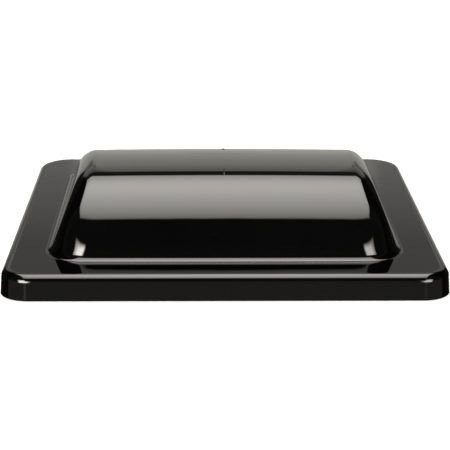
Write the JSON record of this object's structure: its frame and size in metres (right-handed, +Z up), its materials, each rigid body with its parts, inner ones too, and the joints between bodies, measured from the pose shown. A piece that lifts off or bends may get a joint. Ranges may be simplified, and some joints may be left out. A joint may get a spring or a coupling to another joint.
{
  "type": "roof vent cover",
  "caption": "Square domed lid for a caravan roof vent: wedge-shaped crown on a flat flange with a short skirt, strip hinge at the back, foam seal and underside lift rail.",
  "frame": {"origin": "centre of the lid's plan, at the skirt's bottom edge", "axes": "+Z up, -Y towards the front edge that opens, +Y towards the hinge, +X to the right seen from the front"},
  "size_m": [0.4, 0.4, 0.0881],
  "materials": {
    "lid": "high gloss black",
    "foam": "closed-cell foam",
    "leaf_lid": "zinc plated",
    "leaf_base": "zinc plated",
    "hinge_pin": "bright drawn",
    "pin_cap": "satin black",
    "rail": "mill extruded",
    "end_stop": "satin black",
    "nylon": "natural nylon",
    "pivot": "bright turned",
    "clip": "dark spring steel",
    "link": "zinc plated",
    "rivet": "bright",
    "washer": "zinc plated",
    "screw": "zinc plated",
    "rail_washer": "zinc plated"
  },
  "bodies": {
    "lid": {"lid_shell": "lid", "seal_front": "foam", "seal_rear": "foam", "seal_left": "foam", "seal_right": "foam", "hinge_leaf_lid": "leaf_lid", "hinge_pin": "hinge_pin", "hinge_pin_cap_left": "pin_cap", "hinge_pin_cap_right": "pin_cap", "hinge_rivet_1": "rivet", "hinge_rivet_2": "rivet", "hinge_rivet_3": "rivet", "hinge_rivet_4": "rivet", "hinge_rivet_5": "rivet", "hinge_rivet_washer_1": "washer", "hinge_rivet_washer_2": "washer", "hinge_rivet_washer_3": "washer", "hinge_rivet_washer_4": "washer", "hinge_rivet_washer_5": "washer", "lift_rail": "rail", "rail_end_stop_left": "end_stop", "rail_end_stop_right": "end_stop", "rail_screw_1": "screw", "rail_screw_2": "screw", "rail_screw_3": "screw", "rail_screw_4": "screw", "rail_washer_1": "rail_washer", "rail_washer_2": "rail_washer", "rail_washer_3": "rail_washer", "rail_washer_4": "rail_washer"},
    "base_leaf": {"hinge_leaf_base": "leaf_base"},
    "slider": {"slide_block": "nylon", "pivot_pin": "pivot", "pivot_pin_clip": "clip"},
    "link": {"lift_link": "link"}
  },
  "joints": [
    {"name": "lid_hinge", "type": "hinge", "parent": "lid", "child": "base_leaf", "pos_m": [0, 0.1925, 0.006], "axis": [1, 0, 0], "range_deg": [0, 75]},
    {"name": "slider_travel", "type": "slide", "parent": "lid", "child": "slider", "axis": [1, 0, 0], "range_m": [-0.075, 0.075]},
    {"name": "link_swivel", "type": "hinge", "parent": "slider", "child": "link", "pos_m": [0, -0.062, 0.058], "axis": [0, 1, 0], "range_deg": [-50, 50]}
  ]
}
